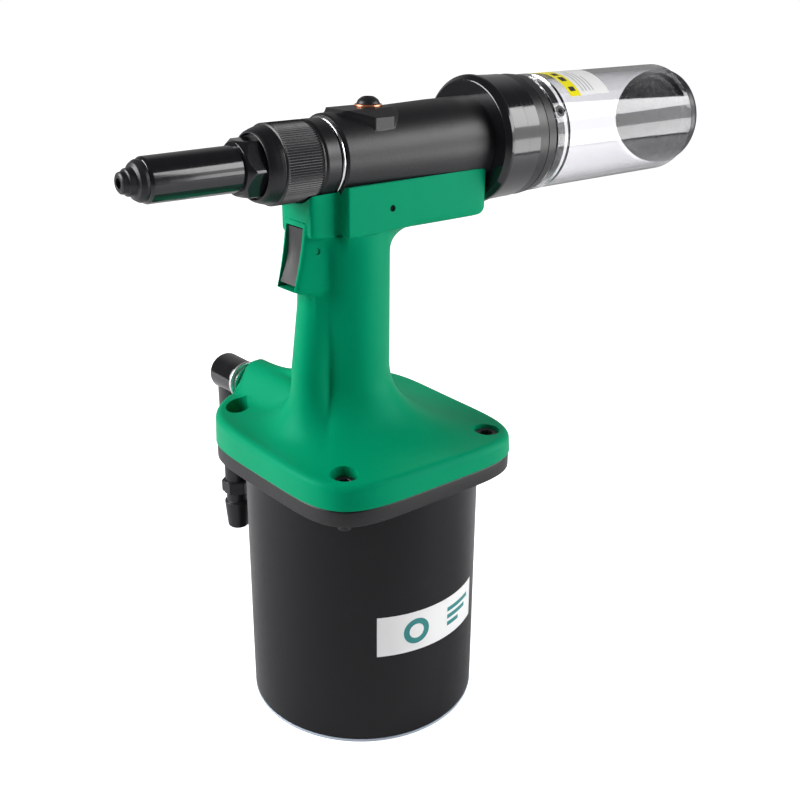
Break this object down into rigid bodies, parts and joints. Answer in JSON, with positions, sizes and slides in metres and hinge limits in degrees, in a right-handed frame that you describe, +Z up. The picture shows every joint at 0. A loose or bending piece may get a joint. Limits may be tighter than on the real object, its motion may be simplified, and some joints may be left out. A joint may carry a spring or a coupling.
{
  "type": "pneumatic rivet gun",
  "caption": "Upright air-hydraulic rivet gun: air cylinder base, moulded trigger handle, horizontal barrel with a nosepiece and a clear bottle for spent mandrels.",
  "frame": {"origin": "centre of the base pad's underside, on the air cylinder's axis", "axes": "+Z up the air cylinder, +X along the barrel from the nose to the container, +Y to the side of the air inlet"},
  "size_m": [0.2871, 0.1249, 0.2686],
  "materials": {
    "black_casting": "fine textured satin black",
    "black_gloss": "gloss black, anodised",
    "black_sleeve": "satin black powder coat",
    "black_oxide": "black oxide",
    "green_cover": "moulded, fine satin texture",
    "trigger_grey": "moulded, satin",
    "clear": "clear polycarbonate",
    "smoke": "smoke grey, polished",
    "black_plastic": "moulded",
    "steel": "turned",
    "bright": "bright turned",
    "alloy": "turned",
    "copper": "annealed copper",
    "seal": "nitrile",
    "pad": "pale blue grey",
    "label_yellow": "printed film",
    "label_white": "printed film"
  },
  "bodies": {
    "frame": {"base_pad": "pad", "cylinder_floor": "alloy", "air_cylinder": "black_sleeve", "base_flange": "black_casting", "cylinder_seal": "seal", "ram_gland": "alloy", "ram_seal": "seal", "head_body": "black_casting", "column_screws": "black_oxide", "bleed_screw": "black_oxide", "bleed_washer": "copper", "front_rod_seal": "seal", "handle_cover": "green_cover", "cover_screws": "black_oxide", "screw_washers": "steel", "saddle_pins": "black_oxide", "trigger_pin": "steel", "valve_body": "alloy", "valve_spring": "steel", "inlet_stem": "steel", "inlet_ring": "bright", "nose_adapter": "black_gloss", "nose_housing": "black_gloss", "nosepiece": "black_oxide", "lock_ring": "bright", "return_spring": "steel", "rear_collar": "black_casting", "exhaust_ring": "black_gloss", "container_seat": "black_plastic", "container_seal": "seal", "cylinder_label": "label_white"},
    "ram": {"ram_rod": "steel", "air_piston": "alloy", "air_piston_seal": "seal", "piston_nut": "steel"},
    "puller": {"pull_piston": "steel", "pull_piston_seal": "seal", "jaw_case": "steel", "mandrel_tube": "steel", "jaw_spring": "steel"},
    "pusher": {"jaw_pusher": "steel"},
    "jaw_a": {"jaw_a": "steel"},
    "jaw_b": {"jaw_b": "steel"},
    "jaw_c": {"jaw_c": "steel"},
    "trigger": {"trigger": "trigger_grey"},
    "valve": {"valve_stem": "steel"},
    "swivel": {"swivel_elbow": "black_gloss", "plug_nut": "black_oxide", "air_plug": "black_oxide"},
    "lock_nut": {"lock_nut": "black_gloss"},
    "latch_ring": {"latch_ring": "smoke"},
    "container": {"container_ring": "smoke", "set_screw": "black_oxide", "collection_container": "clear", "end_cap": "black_plastic", "container_label": "label_yellow"}
  },
  "joints": [
    {"name": "trigger_pull", "type": "hinge", "parent": "frame", "child": "trigger", "pos_m": [-0.027, 0, 0.2085], "axis": [0, -1, 0], "range_deg": [0, 9.2], "stiffness_Nm_per_rad": 0.1},
    {"name": "valve_push", "type": "slide", "parent": "frame", "child": "valve", "axis": [1, 0, 0], "range_m": [0, 0.00117], "deforming": ["valve_spring"]},
    {"name": "ram_lift", "type": "slide", "parent": "frame", "child": "ram", "axis": [0, 0, 1], "range_m": [0, 0.072]},
    {"name": "puller_pull", "type": "slide", "parent": "frame", "child": "puller", "axis": [1, 0, 0], "range_m": [0, 0.0264], "deforming": ["return_spring"]},
    {"name": "jaw_pusher_slide", "type": "slide", "parent": "puller", "child": "pusher", "axis": [-1, 0, 0], "range_m": [0, 0.0009], "stiffness_N_per_m": 400, "deforming": ["jaw_spring"]},
    {"name": "jaw_a_close", "type": "slide", "parent": "puller", "child": "jaw_a", "axis": [-0.9896, 0, 0.1438], "range_m": [0, 0.000919]},
    {"name": "jaw_b_close", "type": "slide", "parent": "puller", "child": "jaw_b", "axis": [-0.9896, -0.1245, -0.0719], "range_m": [0, 0.000919]},
    {"name": "jaw_c_close", "type": "slide", "parent": "puller", "child": "jaw_c", "axis": [-0.9896, 0.1245, -0.0719], "range_m": [0, 0.000919]},
    {"name": "inlet_swivel", "type": "hinge", "parent": "frame", "child": "swivel", "pos_m": [-0.024, 0.06, 0.137], "axis": [0, 1, 0], "continuous": true},
    {"name": "lock_nut_turn", "type": "hinge", "parent": "frame", "child": "lock_nut", "pos_m": [-0.035, 0, 0.2417], "axis": [1, 0, 0], "continuous": true},
    {"name": "latch_ring_turn", "type": "hinge", "parent": "frame", "child": "latch_ring", "pos_m": [0.082, 0, 0.2417], "axis": [1, 0, 0], "range_deg": [0, 60]},
    {"name": "container_pull_off", "type": "slide", "parent": "frame", "child": "container", "axis": [1, 0, 0], "range_m": [0, 0.06]}
  ],
  "couplings": [
    {"joint": "trigger_pull", "follows": "valve_push", "rad_per_m": 133.33},
    {"joint": "puller_pull", "follows": "ram_lift", "ratio": 0.36393},
    {"joint": "jaw_a_close", "follows": "jaw_pusher_slide", "ratio": 1.0105},
    {"joint": "jaw_b_close", "follows": "jaw_pusher_slide", "ratio": 1.0105},
    {"joint": "jaw_c_close", "follows": "jaw_pusher_slide", "ratio": 1.0105}
  ]
}
